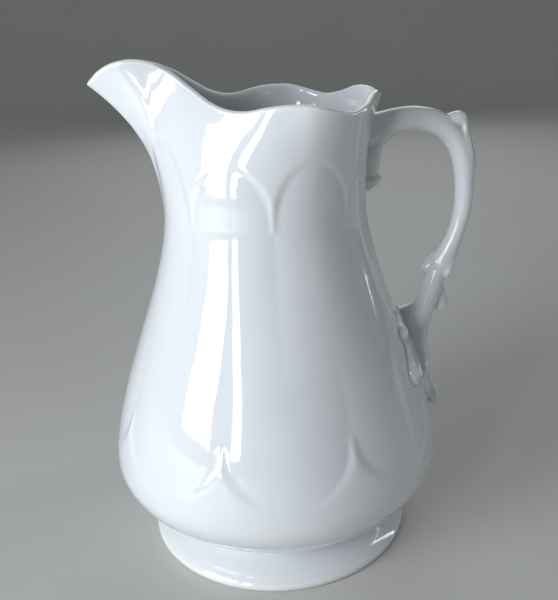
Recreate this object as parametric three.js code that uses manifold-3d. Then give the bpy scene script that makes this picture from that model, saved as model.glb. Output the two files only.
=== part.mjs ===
// A large footed water jug in glazed white ironstone: two pressed wall halves with a pulled spout and
// a scalloped rim, a base disc, a foot ring, and a branch handle with leaves, a knot, a twig and a bud.
// Millimetres, +Z up, the spout towards -X and the handle towards +X.
import * as THREE from "three";
import { mergeVertices } from "three/addons/utils/BufferGeometryUtils.js";
import Module from "manifold-3d";

const wasm = await Module();
wasm.setup();

// Body
const WALL = 5.5;
const WAIST_RADIUS = 62;
const WAIST_HEIGHT = 15;
const BELLY_RADIUS = 103.4;
const BELLY_HEIGHT = 59;
const NECK_RADIUS = 60.3;
const NECK_HEIGHT = 218;
const MOUTH_HEIGHT = 277; // the level about which the rim rises and falls
const MOUTH_RADIUS = 62;
const SPOUT_REACH = 95; // from the axis to the spout's tip
const FLARE_POWER = 2.4; // how late the neck opens out towards the rim
const SPOUT_ROOT = 110; // degrees each way from the spout's line that its root may spread over
const SPOUT_NARROWING = 0.35; // the width across of the spout at the rim over that at its root
const LIP_ROUND = 1.8; // how far the rounded lip stands above its two edges

// The rim's stations on one side, from the spout's tip to the handle: share of the spout's reach
// (forward, below 0) or of the mouth's radius (back), share of the radius across, and height
const RIM_STATIONS = [
  [-1, 0, 13],
  [-0.979, 0.06, 14],
  [-0.926, 0.13, 18],
  [-0.842, 0.19, 21.8],
  [-0.737, 0.222, 23.2],
  [-0.632, 0.24, 22],
  [-0.526, 0.29, 17.4],
  [-0.421, 0.425, 10],
  [-0.316, 0.613, 2.7],
  [-0.221, 0.742, -0.9],
  [-0.126, 0.839, -1.6],
  [0, 0.935, 0.5],
  [0.194, 0.99, 1.5],
  [0.387, 1.01, 0.7],
  [0.58, 0.94, -2.3],
  [0.74, 0.81, -4.7],
  [0.89, 0.64, -2.5],
  [1, 0.4, 1.5],
  [1.07, 0.19, 2],
  [1.12, 0, -0.3],
];

// Foot and base
const FOOT_RADIUS = 83.6;
const FOOT_EDGE_HEIGHT = 4;
const FOOT_TREAD = 11; // the width of the flat ring that the jug stands on
const BASE_THICKNESS = 6;
const BASE_LIFT = 9; // how far the base's underside is off the table

// Handle
const HANDLE_REACH = 60; // from the wall to the middle of the branch
const HANDLE_TOP = 260.5;
const HANDLE_FOOT = 82;
const BRANCH_WIDENING = 1.12; // the branch's width across over its depth
const THUMB_LEAF = [19, 10, 12]; // length, thickness and width of each leaf, knot and bud
const UPPER_LEAF = [36, 15, 24];
const FORK_WEB = [40, 14, 13];
const LOWER_LEAF = [46, 9, 30];
const LOWER_LEAF_ACROSS = 21.3; // from the handle's middle plane to a leaf's middle
const KNOT = [18, 10, 11];
const BUD = [16, 11, 12];
const TWIG_LENGTH = 18;
const TWIG_RADIUS = 4.2;

// The branch's middle line: share of the reach out from the wall, share of the way up, half depth
const BRANCH_STATIONS = [
  [-0.06, 0.965, 12],
  [0.08, 0.975, 9.4],
  [0.24, 0.995, 7.4],
  [0.4, 1, 7],
  [0.57, 0.99, 7],
  [0.74, 0.965, 7],
  [0.88, 0.922, 7],
  [0.975, 0.86, 6.8],
  [1.01, 0.785, 6],
  [0.975, 0.68, 5.4],
  [0.81, 0.575, 5.2],
  [0.565, 0.48, 5.6],
  [0.38, 0.39, 5.9],
  [0.19, 0.29, 6.4],
  [0.1, 0.21, 6.2],
  [0.04, 0.1, 5.6],
  [0.03, 0.02, 5],
];

const GAP = 0.3; // between pieces that touch
const COLUMNS = 64;
const RIM_SAMPLES = 720;
const LOWER_ROWS = 20;
const UPPER_ROWS = 8;
const BRANCH_SIDES = 12;
const BRANCH_STEPS = 36;

const GLAZE_COLOUR = 0xe6eaee;
const GLAZE_ROUGHNESS = 0.1;

// ---------- Solids and booleans ----------

function toSolid(geometry) {
  const bare = new THREE.BufferGeometry().setIndex(geometry.index);
  bare.setAttribute("position", geometry.getAttribute("position").clone());
  const merged = mergeVertices(bare, 1e-4);
  const mesh = new wasm.Mesh({
    numProp: 3,
    vertProperties: new Float32Array(merged.attributes.position.array),
    triVerts: new Uint32Array(merged.index.array),
  });
  return new wasm.Manifold(mesh);
}

function toGeometry(solid) {
  const mesh = solid.getMesh();
  const geometry = new THREE.BufferGeometry();
  const positions = new THREE.BufferAttribute(new Float32Array(mesh.vertProperties), 3);
  geometry.setAttribute("position", positions);
  geometry.setIndex(new THREE.BufferAttribute(new Uint32Array(mesh.triVerts), 1));
  geometry.computeVertexNormals();
  return geometry;
}

function namedMesh(name, solid) {
  const material = new THREE.MeshStandardMaterial({
    color: GLAZE_COLOUR,
    roughness: GLAZE_ROUGHNESS,
    metalness: 0,
  });
  const mesh = new THREE.Mesh(toGeometry(solid), material);
  mesh.name = name;
  return mesh;
}

// Moves every vertex of a geometry to place(vertex).
function reshape(geometry, place) {
  const position = geometry.getAttribute("position");
  const vertex = new THREE.Vector3();
  for (let i = 0; i < position.count; i++) {
    vertex.fromBufferAttribute(position, i);
    const moved = place(vertex);
    position.setXYZ(i, moved.x, moved.y, moved.z);
  }
  return geometry;
}

// ---------- The body's outer surface ----------

function rimLine() {
  const side = RIM_STATIONS.map(([along, across, rise]) => {
    const reach = along < 0 ? SPOUT_REACH : MOUTH_RADIUS;
    return new THREE.Vector3(along * reach, across * MOUTH_RADIUS, MOUTH_HEIGHT + rise - LIP_ROUND);
  });
  const otherSide = side.slice(1, -1).map((p) => new THREE.Vector3(p.x, -p.y, p.z));
  return new THREE.CatmullRomCurve3([...side, ...otherSide.reverse()], true, "centripetal");
}

function bodyLine() {
  const line = new THREE.CurvePath();
  const rise = BELLY_HEIGHT - WAIST_HEIGHT;
  const swell = BELLY_RADIUS - WAIST_RADIUS;
  const shoulder = (NECK_HEIGHT - BELLY_HEIGHT) / 4;
  line.add(
    new THREE.CubicBezierCurve(
      new THREE.Vector2(WAIST_RADIUS, WAIST_HEIGHT),
      new THREE.Vector2(WAIST_RADIUS + 0.59 * swell, WAIST_HEIGHT + 0.3 * rise),
      new THREE.Vector2(BELLY_RADIUS, BELLY_HEIGHT - 0.36 * rise),
      new THREE.Vector2(BELLY_RADIUS, BELLY_HEIGHT),
    ),
  );
  line.add(
    new THREE.CubicBezierCurve(
      new THREE.Vector2(BELLY_RADIUS, BELLY_HEIGHT),
      new THREE.Vector2(BELLY_RADIUS, BELLY_HEIGHT + shoulder),
      new THREE.Vector2(NECK_RADIUS, NECK_HEIGHT - shoulder),
      new THREE.Vector2(NECK_RADIUS, NECK_HEIGHT),
    ),
  );
  return line;
}

const BODY = bodyLine();
const RIM_POINTS = rimLine().getSpacedPoints(COLUMNS);

// One side of the rim, from the spout's tip to the handle, by its turn from the tip in radians.
const RIM_SIDE = rimLine()
  .getSpacedPoints(RIM_SAMPLES)
  .slice(0, RIM_SAMPLES / 2 + 1)
  .map((p) => ({ turn: Math.PI - Math.abs(Math.atan2(p.y, p.x)), radius: Math.hypot(p.x, p.y) }));

// The rim's distance from the axis as a row below it sees it: the spout is broader towards its root.
function spreadRadius(angle, share) {
  const turn = Math.PI - Math.abs(angle);
  const narrowed = THREE.MathUtils.lerp(SPOUT_NARROWING, 1, share);
  const settled = THREE.MathUtils.smoothstep(turn, 0, THREE.MathUtils.degToRad(SPOUT_ROOT));
  const sought = turn * THREE.MathUtils.lerp(narrowed, 1, settled);
  const next = Math.max(RIM_SIDE.findIndex((place) => place.turn >= sought), 1);
  const [before, after] = [RIM_SIDE[next - 1], RIM_SIDE[next]];
  const part = (sought - before.turn) / (after.turn - before.turn);
  return THREE.MathUtils.lerp(before.radius, after.radius, part);
}

// A point on the outer surface: column counts round the rim, height runs 0 to 1 from the waist to
// the neck and 1 to 2 from the neck to the rim.
function surfacePoint(column, height) {
  const lower = Math.floor(column);
  const before = RIM_POINTS[(lower + COLUMNS) % COLUMNS];
  const after = RIM_POINTS[(lower + 1 + COLUMNS) % COLUMNS];
  const rim = before.clone().lerp(after, column - lower);
  const angle = Math.atan2(rim.y, rim.x);
  if (height <= 1) {
    const at = BODY.getPoint(height);
    return new THREE.Vector3(at.x * Math.cos(angle), at.x * Math.sin(angle), at.y);
  }
  const share = height - 1;
  const flare = spreadRadius(angle, share) - NECK_RADIUS;
  const radius = NECK_RADIUS + flare * share ** FLARE_POWER;
  const z = NECK_HEIGHT + (rim.z - NECK_HEIGHT) * share;
  return new THREE.Vector3(radius * Math.cos(angle), radius * Math.sin(angle), z);
}

// The same point moved in by depth along the surface's own normal, which turns level at the rim.
// Where the spout is narrower than two walls, each side's point stops at the seam.
function wallPoint(column, height, depth) {
  const step = 0.02;
  const low = Math.max(height - step, 0);
  const high = Math.min(height + step, 2);
  const along = surfacePoint(column + 1, height).sub(surfacePoint(column - 1, height));
  const up = surfacePoint(column, high).sub(surfacePoint(column, low));
  const outward = along.cross(up);
  outward.z *= Math.min(1, 2 - height);
  outward.normalize();
  const point = surfacePoint(column, height);
  if (outward.x * point.x + outward.y * point.y < 0) outward.negate();
  const side = Math.abs(point.y) < GAP / 2 ? 0 : Math.sign(point.y);
  point.addScaledVector(outward, -depth);
  if (side && point.y * side < GAP / 4) point.y = (side * GAP) / 4;
  return point;
}

// Heights of the rows from the waist to the rim.
function rowHeights() {
  const lower = Array.from({ length: LOWER_ROWS }, (_, i) => i / LOWER_ROWS);
  const upper = Array.from({ length: UPPER_ROWS + 1 }, (_, i) => 1 + i / UPPER_ROWS);
  return [...lower, ...upper];
}

// A ring of revolution whose vertices are moved to rows of places round the body. Each row gives the
// place for a column. A closed ring joins its last row to its first; an open one ends on the axis.
function formedRing(rows, closed) {
  const outline = rows.map((_, i) => new THREE.Vector2(10, i));
  if (closed) outline.push(outline[0].clone());
  else outline[0].x = outline[rows.length - 1].x = 0;
  const turn = (2 * Math.PI) / COLUMNS;
  return reshape(new THREE.LatheGeometry(outline, COLUMNS), (vertex) => {
    const column = Math.round(COLUMNS - Math.atan2(vertex.x, vertex.z) / turn) % COLUMNS;
    return rows[Math.round(vertex.y)](column);
  });
}

function wallSolid() {
  const heights = rowHeights();
  const outer = heights.map((h) => (column) => wallPoint(column, h, 0));
  const inner = heights.slice(1).map((h) => (column) => wallPoint(column, h, WALL));
  const crown = (column) => {
    const middle = wallPoint(column, 2, WALL / 2);
    middle.z += LIP_ROUND;
    return middle;
  };
  const innerFoot = (column) => {
    const edge = surfacePoint(column, 0);
    const share = (WAIST_RADIUS - WALL) / WAIST_RADIUS;
    return new THREE.Vector3(edge.x * share, edge.y * share, edge.z);
  };
  return toSolid(formedRing([...outer, crown, ...inner.reverse(), innerFoot], true));
}

// The jug as one full solid grown by the gap, which the handle's pieces are cut with.
function bodyBlank() {
  const skin = rowHeights().map((h) => (column) => wallPoint(column, h, -GAP));
  const onAxis = (z) => () => new THREE.Vector3(0, 0, z);
  return toSolid(formedRing([onAxis(WAIST_HEIGHT), ...skin, onAxis(MOUTH_HEIGHT)], false));
}

// Everything on one side of the seam that runs under the spout and behind the handle.
function sideOfSeam(side) {
  const size = 4 * (BELLY_RADIUS + NECK_HEIGHT);
  const box = new THREE.BoxGeometry(size, size, size);
  return toSolid(box.translate(0, side * (size / 2 + GAP / 2), 0));
}

// ---------- Foot and base ----------

function turned(outline, columns = COLUMNS) {
  const points = outline.map(([radius, z]) => new THREE.Vector2(radius, z));
  return toSolid(new THREE.LatheGeometry(points, columns).rotateX(Math.PI / 2));
}

function footRing() {
  const inner = WAIST_RADIUS - WALL;
  const top = WAIST_HEIGHT - GAP;
  const rise = top - FOOT_EDGE_HEIGHT;
  const inward = FOOT_RADIUS - WAIST_RADIUS;
  const sweep = new THREE.CubicBezierCurve(
    new THREE.Vector2(FOOT_RADIUS, FOOT_EDGE_HEIGHT),
    new THREE.Vector2(FOOT_RADIUS - 0.12 * inward, FOOT_EDGE_HEIGHT + 0.45 * rise),
    new THREE.Vector2(FOOT_RADIUS - 0.55 * inward, FOOT_EDGE_HEIGHT + 0.75 * rise),
    new THREE.Vector2(WAIST_RADIUS, top),
  );
  const outside = sweep.getPoints(5).map((p) => [p.x, p.y]);
  return turned([
    [FOOT_RADIUS - FOOT_TREAD, 0],
    [FOOT_RADIUS - 1.5, 0],
    [FOOT_RADIUS - 0.3, 1.5],
    ...outside,
    [inner, top],
    [inner, BASE_LIFT],
    [inner + 3, BASE_LIFT - 1],
    [FOOT_RADIUS - FOOT_TREAD, 0],
  ]);
}

function baseDisc() {
  const radius = WAIST_RADIUS - WALL - GAP;
  const top = BASE_LIFT + BASE_THICKNESS;
  return turned([
    [0, BASE_LIFT],
    [radius - 1, BASE_LIFT],
    [radius, BASE_LIFT + 1],
    [radius, top - 1],
    [radius - 1, top],
    [0, top],
  ]);
}

// ---------- Handle ----------

// How far the handle side of the body stands from the axis at a height.
function wallReach(z) {
  const column = COLUMNS / 2;
  let low = 0;
  let high = 2;
  for (let i = 0; i < 40; i++) {
    const middle = (low + high) / 2;
    if (surfacePoint(column, middle).z < z) low = middle;
    else high = middle;
  }
  return surfacePoint(column, low).x;
}

function handlePlace(reachShare, heightShare) {
  const z = HANDLE_FOOT + (HANDLE_TOP - HANDLE_FOOT) * heightShare;
  return new THREE.Vector3(wallReach(z) + HANDLE_REACH * reachShare, 0, z);
}

const BRANCH = new THREE.CatmullRomCurve3(
  BRANCH_STATIONS.map(([reach, height]) => handlePlace(reach, height)),
  false,
  "centripetal",
);

function branchDepth(share) {
  const along = share * (BRANCH_STATIONS.length - 1);
  const first = Math.min(Math.floor(along), BRANCH_STATIONS.length - 2);
  const from = BRANCH_STATIONS[first][2];
  const to = BRANCH_STATIONS[first + 1][2];
  return THREE.MathUtils.lerp(from, to, along - first);
}

// A rod laid along the branch's line, with its own depth at each station, grown by extra.
function branchSolid(extra = 0) {
  const rod = new THREE.CylinderGeometry(1, 1, 1, BRANCH_SIDES, BRANCH_STEPS);
  const across = new THREE.Vector3(0, 1, 0);
  const shaped = reshape(rod, (vertex) => {
    const share = 0.5 - vertex.y;
    const tangent = BRANCH.getTangent(share);
    const sideways = new THREE.Vector3().crossVectors(across, tangent).normalize();
    const depth = branchDepth(share) + extra;
    return BRANCH.getPoint(share)
      .addScaledVector(sideways, vertex.x * depth)
      .addScaledVector(across, vertex.z * depth * BRANCH_WIDENING)
      .addScaledVector(tangent, vertex.y > 0.49 ? -extra : vertex.y < -0.49 ? extra : 0);
  });
  return toSolid(shaped);
}

// Turns a piece drawn along +Z to lie in the handle's plane at an angle up from level, places it,
// and turns it round the body by a number of degrees.
function onHandle(geometry, place, tilt, turn = 0) {
  geometry.rotateY(THREE.MathUtils.degToRad(90 - tilt)).translate(place.x, place.y, place.z);
  return toSolid(geometry.rotateZ(THREE.MathUtils.degToRad(turn)));
}

function egg(sizes, extra = 0) {
  const [length, thickness, width] = sizes.map((size) => size + 2 * extra);
  return new THREE.SphereGeometry(0.5, 14, 9).rotateX(Math.PI / 2).scale(thickness, width, length);
}

// The clay that fills the fork between the branch and the body.
function forkWeb(extra = 0) {
  return onHandle(egg(FORK_WEB, extra), handlePlace(0.07, 0.26), 106);
}

function lowerLeaf(side) {
  const place = handlePlace(0, 0.22);
  const turn = THREE.MathUtils.radToDeg(Math.asin(LOWER_LEAF_ACROSS / place.x));
  return onHandle(egg(LOWER_LEAF), place, 112, side * turn);
}

function twig() {
  const stub = new THREE.CylinderGeometry(TWIG_RADIUS, TWIG_RADIUS * 1.35, TWIG_LENGTH, 12, 1);
  stub.rotateX(Math.PI / 2).translate(0, 0, TWIG_LENGTH / 2);
  return onHandle(stub, handlePlace(0.4, 0.405), -62);
}

// ---------- The assembly ----------

function waterJug() {
  const jug = new THREE.Group();
  const wall = wallSolid();
  jug.add(namedMesh("wall_left_half", wall.intersect(sideOfSeam(-1))));
  jug.add(namedMesh("wall_right_half", wall.intersect(sideOfSeam(1))));
  jug.add(namedMesh("base_disc", baseDisc()));
  jug.add(namedMesh("foot_ring", footRing()));

  const body = bodyBlank();
  const trim = body.add(branchSolid(GAP));
  const lowerTrim = trim.add(forkWeb(GAP));
  const trimmed = (sizes, place, tilt) => onHandle(egg(sizes), place, tilt).subtract(trim);
  jug.add(namedMesh("handle_branch", branchSolid().subtract(body)));
  jug.add(namedMesh("fork_web", forkWeb().subtract(trim)));
  jug.add(namedMesh("thumb_leaf", trimmed(THUMB_LEAF, handlePlace(0.85, 0.965), 95)));
  jug.add(namedMesh("upper_leaf", trimmed(UPPER_LEAF, handlePlace(0.02, 0.865), 86)));
  jug.add(namedMesh("inner_knot", trimmed(KNOT, handlePlace(0.53, 0.49), 188)));
  jug.add(namedMesh("end_bud", trimmed(BUD, handlePlace(0.05, -0.025), -60)));
  jug.add(namedMesh("outer_twig", twig().subtract(trim)));
  jug.add(namedMesh("lower_leaf_left", lowerLeaf(-1).subtract(lowerTrim)));
  jug.add(namedMesh("lower_leaf_right", lowerLeaf(1).subtract(lowerTrim)));
  return jug;
}

// The origin is the middle of the jug's own box, on the table.
function centred(group) {
  const box = new THREE.Box3().setFromObject(group, true);
  const middle = box.getCenter(new THREE.Vector3());
  group.position.set(-middle.x, -middle.y, -box.min.z);
  return group;
}

export default centred(waterJug());
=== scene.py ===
"""A large footed water jug in white glazed ironstone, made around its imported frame.

The fired jug is one body: a pressed wall with a pulled spout and a scalloped rim, a turned foot with a
bare tread, and a branch handle with leaves, a knot, a cut twig and a bud. Shapes are worked out in
millimetres about the jug's axis, +Z up, the spout towards -X and the handle towards +X, and each
finished piece is then moved to the frame's own place.
"""

import logging
import math
from collections.abc import Callable
from dataclasses import dataclass
from enum import Enum

import bmesh
import bpy
import numpy as np
from mathutils import Matrix, Vector


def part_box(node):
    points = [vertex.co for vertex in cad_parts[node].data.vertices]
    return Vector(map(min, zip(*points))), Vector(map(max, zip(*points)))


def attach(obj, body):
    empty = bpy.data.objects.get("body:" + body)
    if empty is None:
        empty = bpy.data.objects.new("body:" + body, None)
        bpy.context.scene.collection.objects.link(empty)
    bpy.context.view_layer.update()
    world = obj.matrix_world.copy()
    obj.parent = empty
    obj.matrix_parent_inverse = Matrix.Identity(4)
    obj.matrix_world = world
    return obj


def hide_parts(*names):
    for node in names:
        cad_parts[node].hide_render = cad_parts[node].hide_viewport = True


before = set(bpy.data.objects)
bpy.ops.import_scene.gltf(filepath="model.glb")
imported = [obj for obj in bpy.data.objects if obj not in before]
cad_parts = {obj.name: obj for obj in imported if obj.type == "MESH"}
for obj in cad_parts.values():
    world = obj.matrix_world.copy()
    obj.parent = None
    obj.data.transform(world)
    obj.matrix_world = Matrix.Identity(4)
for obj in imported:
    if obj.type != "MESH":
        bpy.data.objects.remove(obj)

MM = 0.001
BODY = "root"
POOLING = "pooling"
HEADING_STEP = 0.004

log = logging.getLogger("water_jug")


class Slot(Enum):
    """The record's material slots."""

    BODY = "body_glaze"
    FOOT = "foot_glaze"
    HANDLE = "handle_glaze"


# ---------- Curves and ramps ----------


def ramp(value: np.ndarray, start: float, end: float) -> np.ndarray:
    """Runs smoothly from 0 to 1.

    Args:
        value: where to read the ramp.
        start: the value at which it is still 0.
        end: the value from which it is 1.

    Returns:
        The ramp's height at each value.
    """
    share = np.clip((value - start) / (end - start), 0.0, 1.0)
    return share * share * (3.0 - 2.0 * share)


def bezier(count: int, *controls: tuple[float, float]) -> np.ndarray:
    """Samples a cubic Bezier curve.

    Args:
        count: how many points to give back.
        *controls: its four control points.

    Returns:
        The points, one to a row.
    """
    first, second, third, last = (np.array(point, float) for point in controls)
    t = np.linspace(0.0, 1.0, count)[:, None]
    u = 1.0 - t
    return u**3 * first + 3 * u * u * t * second + 3 * u * t * t * third + t**3 * last


def smooth_line(stations: np.ndarray, closed: bool, steps: int) -> np.ndarray:
    """Draws a centripetal Catmull-Rom curve through every station.

    Args:
        stations: the points, one to a row, in any number of dimensions.
        closed: whether the last station runs on to the first.
        steps: how many points each span gets.

    Returns:
        The curve's points. A closed curve ends on its first point again.
    """
    if closed:
        start = stations
        before, after, beyond = (np.roll(stations, k, axis=0) for k in (1, -1, -2))
    else:
        lead = 2 * stations[0] - stations[1]
        trail = 2 * stations[-1] - stations[-2]
        padded = np.vstack([lead, stations, trail])
        before, start, after, beyond = padded[:-3], padded[1:-2], padded[2:-1], padded[3:]
    gap_a, gap_b, gap_c = (
        np.sqrt(np.linalg.norm(far - near, axis=1, keepdims=True))
        for near, far in ((before, start), (start, after), (after, beyond))
    )
    leave = (start - before) / gap_a - (after - before) / (gap_a + gap_b) + (after - start) / gap_b
    arrive = (after - start) / gap_b - (beyond - start) / (gap_b + gap_c) + (beyond - after) / gap_c
    leave, arrive = leave * gap_b, arrive * gap_b
    square = 3 * (after - start) - 2 * leave - arrive
    cube = 2 * (start - after) + leave + arrive
    t = (np.arange(steps) / steps)[None, :, None]
    spans = start[:, None] + leave[:, None] * t + square[:, None] * t**2 + cube[:, None] * t**3
    end = stations[0] if closed else stations[-1]
    return np.vstack([spans.reshape(-1, stations.shape[1]), end])


def read_line(line: np.ndarray, share: np.ndarray) -> np.ndarray:
    """Reads a sampled line at shares of the way along it.

    Args:
        line: the line's points, one to a row.
        share: shares from 0 to 1.

    Returns:
        One point for each share.
    """
    places = np.linspace(0.0, 1.0, len(line))
    return np.stack([np.interp(share, places, column) for column in line.T], axis=-1)


def heading(line: np.ndarray, share: np.ndarray) -> np.ndarray:
    """Reads the direction of a sampled line, in its first two coordinates.

    Args:
        line: the line's points, one to a row.
        share: shares from 0 to 1.

    Returns:
        One unit direction for each share.
    """
    run = read_line(line, share + HEADING_STEP) - read_line(line, share - HEADING_STEP)
    return run[:, :2] / np.maximum(np.linalg.norm(run[:, :2], axis=1, keepdims=True), 1e-9)


# ---------- Mesh helpers ----------


def reshape(bm: bmesh.types.BMesh, place: Callable[[np.ndarray], np.ndarray]) -> None:
    """Moves every vertex of a bmesh at once.

    Args:
        bm: the mesh to change.
        place: maps the vertices' places, one to a row, to their new ones.
    """
    moved = place(np.array([vertex.co for vertex in bm.verts], float))
    for vertex, point in zip(bm.verts, moved):
        vertex.co = point


def formed_ring(rows: np.ndarray) -> bmesh.types.BMesh:
    """Spins one upright edge into a ring and moves its vertices to rows of places.

    Args:
        rows: places by row, then by column round the axis, then x, y and z.

    Returns:
        The closed mesh, its doubles merged and its faces turned out.
    """
    count, columns = rows.shape[:2]
    bm = bmesh.new()
    ends = [bm.verts.new((1.0, 0.0, z)) for z in (0.0, count - 1.0)]
    edge = bm.edges.new(ends)
    bmesh.ops.subdivide_edges(bm, edges=[edge], cuts=count - 2)
    bmesh.ops.spin(
        bm,
        geom=bm.verts[:] + bm.edges[:],
        cent=(0, 0, 0),
        axis=(0, 0, 1),
        angle=2 * math.pi,
        steps=columns,
        use_merge=True,
    )

    def place(points: np.ndarray) -> np.ndarray:
        """Finds each vertex's row and column, and so its place."""
        turn = np.arctan2(points[:, 1], points[:, 0]) / (2 * math.pi)
        column = np.round(turn * columns).astype(int) % columns
        return rows[np.round(points[:, 2]).astype(int), column]

    reshape(bm, place)
    bmesh.ops.remove_doubles(bm, verts=bm.verts[:], dist=0.001)
    bmesh.ops.recalc_face_normals(bm, faces=bm.faces[:])
    return bm


def add_rod(
    bm: bmesh.types.BMesh,
    place: Callable[[np.ndarray, np.ndarray], np.ndarray],
    sides: int = 28,
    steps: int = 60,
) -> None:
    """Adds a closed rod whose every ring is placed by a function.

    Args:
        bm: the mesh to add to.
        place: maps shares along the rod and turns round it to places.
        sides: the number of sides.
        steps: the number of rings.
    """
    rod = bmesh.new()
    bmesh.ops.create_cone(
        rod, cap_ends=True, cap_tris=True, segments=sides, radius1=1, radius2=1, depth=1
    )
    upright = [e for e in rod.edges if abs(e.verts[0].co.z - e.verts[1].co.z) > 0.5]
    bmesh.ops.subdivide_edges(rod, edges=upright, cuts=steps - 1, use_grid_fill=True)

    def moved(points: np.ndarray) -> np.ndarray:
        """Places the rings, and draws the caps' middles to the rod's own line."""
        turn = np.arctan2(points[:, 1], points[:, 0])
        share = points[:, 2] + 0.5
        ring = place(share, turn)
        middle = (ring + place(share, turn + math.pi)) / 2
        reach = np.hypot(points[:, 0], points[:, 1])[:, None]
        return middle + (ring - middle) * reach

    reshape(rod, moved)
    bmesh.ops.recalc_face_normals(rod, faces=rod.faces[:])
    mesh = bpy.data.meshes.new("rod")
    rod.to_mesh(mesh)
    rod.free()
    bm.from_mesh(mesh)
    bpy.data.meshes.remove(mesh)


def settle_glaze(mesh: bpy.types.Mesh, reach: int, gain: float) -> None:
    """Works out where melted glaze pools, and stores it as the piece's own attribute.

    Args:
        mesh: the finished mesh, in metres.
        reach: how many rounds of averaging spread the result.
        gain: how strongly a hollow or an edge counts.
    """
    count = len(mesh.vertices)

    def gather(items: bpy.types.bpy_prop_collection, name: str, width: int, kind: type) -> np.ndarray:
        """Reads one property of every item, an item to a row."""
        values = np.empty(len(items) * width, kind)
        items.foreach_get(name, values)
        return values.reshape(-1, width)

    places = gather(mesh.vertices, "co", 3, np.float32)
    normals = gather(mesh.vertices, "normal", 3, np.float32)
    pairs = gather(mesh.edges, "vertices", 2, np.int32)
    near, far = pairs.T
    along = places[far] - places[near]
    length = np.maximum(np.linalg.norm(along, axis=1), 1e-7)
    bend = ((normals[far] - normals[near]) * along).sum(axis=1) / length**2
    links = np.maximum(np.bincount(pairs.ravel(), minlength=count), 1)

    def spread(on_edges: np.ndarray) -> np.ndarray:
        """The mean over each vertex's edges."""
        total = np.bincount(near, on_edges, count) + np.bincount(far, on_edges, count)
        return total / links

    curve = spread(bend)
    for _ in range(reach):
        curve = 0.5 * curve + 0.5 * spread((curve[near] + curve[far]) / 2)
    pooled = np.clip(0.5 - gain * curve, 0.0, 1.0)
    attribute = mesh.attributes.new(POOLING, "FLOAT", "POINT")
    attribute.data.foreach_set("value", pooled.astype(np.float32))


# ---------- Node helpers ----------


def new_material(name: str) -> tuple:
    """Starts a material.

    Args:
        name: the material's name.

    Returns:
        The material, its tree, its shader and the socket that gives the place on the object.
    """
    material = bpy.data.materials.new(name)
    material.use_nodes = True
    tree = material.node_tree
    position = tree.nodes.new("ShaderNodeTexCoord").outputs["Object"]
    return material, tree, tree.nodes["Principled BSDF"], position


def plug(slot: bpy.types.NodeSocket, value: object) -> None:
    """Gives an input socket a value, or links it when the value is a socket itself."""
    if isinstance(value, bpy.types.NodeSocket):
        slot.id_data.links.new(value, slot)
    else:
        slot.default_value = value


def set_inputs(node: bpy.types.Node, **values: object) -> bpy.types.Node:
    """Sets or links a node's inputs by name.

    Args:
        node: the node.
        **values: the inputs' values or sockets, an underscore in a name standing for a space.

    Returns:
        The node.
    """
    for name, value in values.items():
        plug(node.inputs[name.replace("_", " ")], value)
    return node


def maths(tree: bpy.types.NodeTree, operation: str, *values: object) -> bpy.types.NodeSocket:
    """Adds a Math node.

    Args:
        tree: the tree to add it to.
        operation: the node's operation.
        *values: its sockets or numbers, in order.

    Returns:
        The node's output.
    """
    node = tree.nodes.new("ShaderNodeMath")
    node.operation = operation
    for slot, value in zip(node.inputs, values):
        plug(slot, value)
    return node.outputs[0]


def mapped(tree: bpy.types.NodeTree, value: object, kind: str = "LINEAR", **ends: float) -> object:
    """Adds a Map Range node.

    Args:
        tree: the tree to add it to.
        value: the socket to map.
        kind: the node's interpolation.
        **ends: the ends of its two ranges, by the inputs' names.

    Returns:
        The node's result.
    """
    node = tree.nodes.new("ShaderNodeMapRange")
    node.interpolation_type = kind
    return set_inputs(node, Value=value, **ends).outputs["Result"]


def mixed(
    tree: bpy.types.NodeTree, share: bpy.types.NodeSocket, first: object, second: object
) -> bpy.types.NodeSocket:
    """Adds a colour Mix node.

    Args:
        tree: the tree to add it to.
        share: the socket that says how much of the second colour shows.
        first: a colour socket or a colour.
        second: a colour socket or a colour.

    Returns:
        The node's colour output.
    """
    node = tree.nodes.new("ShaderNodeMix")
    node.data_type = "RGBA"
    plug(node.inputs["Factor"], share)
    for slot, value in ((node.inputs[6], first), (node.inputs[7], second)):
        plug(slot, (*value, 1.0) if isinstance(value, tuple) else value)
    return node.outputs[2]


def noise(
    tree: bpy.types.NodeTree, position: bpy.types.NodeSocket, scale: object, detail: float
) -> bpy.types.NodeSocket:
    """Adds a Noise Texture on a position and gives its value."""
    node = tree.nodes.new("ShaderNodeTexNoise")
    return set_inputs(node, Vector=position, Scale=scale, Detail=detail).outputs["Fac"]


def bumped(tree: bpy.types.NodeTree, height: bpy.types.NodeSocket, depth: float) -> object:
    """Adds a Bump node of a depth in metres and gives its normal."""
    node = tree.nodes.new("ShaderNodeBump")
    return set_inputs(node, Strength=1.0, Distance=depth, Height=height).outputs["Normal"]


def new_group(name: str, inputs: dict[str, float], output: str) -> tuple:
    """Starts a shader node group that reads a position and some values and gives one value.

    Args:
        name: the group's name.
        inputs: the names and usual values of its float inputs.
        output: the name of its output.

    Returns:
        The group's tree, its input node and its output node.
    """
    tree = bpy.data.node_groups.new(name, "ShaderNodeTree")
    tree.interface.new_socket("Position", in_out="INPUT", socket_type="NodeSocketVector")
    for label, value in inputs.items():
        socket = tree.interface.new_socket(label, in_out="INPUT", socket_type="NodeSocketFloat")
        socket.default_value = value
    tree.interface.new_socket(output, in_out="OUTPUT", socket_type="NodeSocketFloat")
    return tree, tree.nodes.new("NodeGroupInput"), tree.nodes.new("NodeGroupOutput")


# ---------- Finishes ----------


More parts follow.
